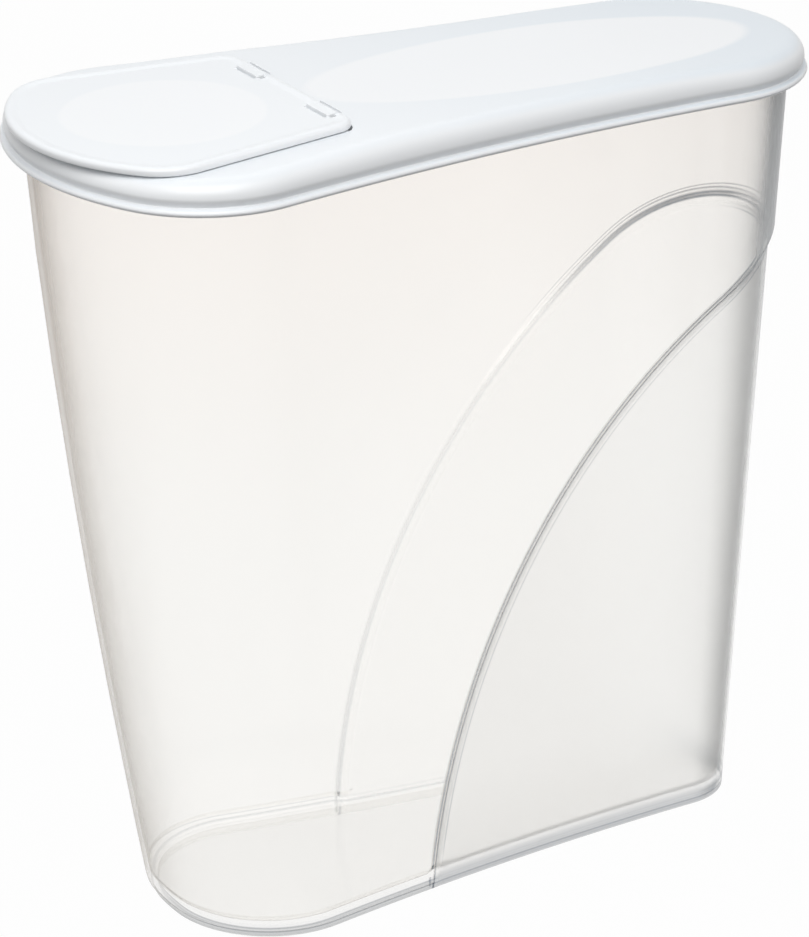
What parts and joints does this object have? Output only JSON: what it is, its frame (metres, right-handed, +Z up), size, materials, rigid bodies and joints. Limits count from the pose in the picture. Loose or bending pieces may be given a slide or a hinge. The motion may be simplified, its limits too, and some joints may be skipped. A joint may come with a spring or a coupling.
{
  "type": "cereal container with flip spout",
  "caption": "Leaning translucent storage tub with a press-on lid and a hinged flap over its pouring hole, for cereal and other dry food.",
  "frame": {"origin": "bottom centre of the bounding box, on the surface that the tub stands on", "axes": "+X from the pouring nose to the narrow rear end, +Y to the side, +Z up"},
  "size_m": [0.256, 0.1174, 0.254],
  "materials": {
    "natural_pp": "translucent natural polypropylene, polished above and lightly spark-eroded in the grip recess",
    "white_lid_pp": "glossy white polypropylene",
    "white_flap_pp": "glossy white polypropylene"
  },
  "bodies": {
    "tub": {"tub": "natural_pp"},
    "lid": {"lid": "white_lid_pp"},
    "flap": {"flap": "white_flap_pp"}
  },
  "joints": [
    {"name": "lid_lift", "type": "slide", "parent": "tub", "child": "lid", "axis": [0, 0, 1], "range_m": [0, 0.06]},
    {"name": "flap_hinge", "type": "hinge", "parent": "lid", "child": "flap", "pos_m": [-0.0449, 0, 0.25183], "axis": [0, 1, 0], "range_deg": [0, 115]}
  ]
}
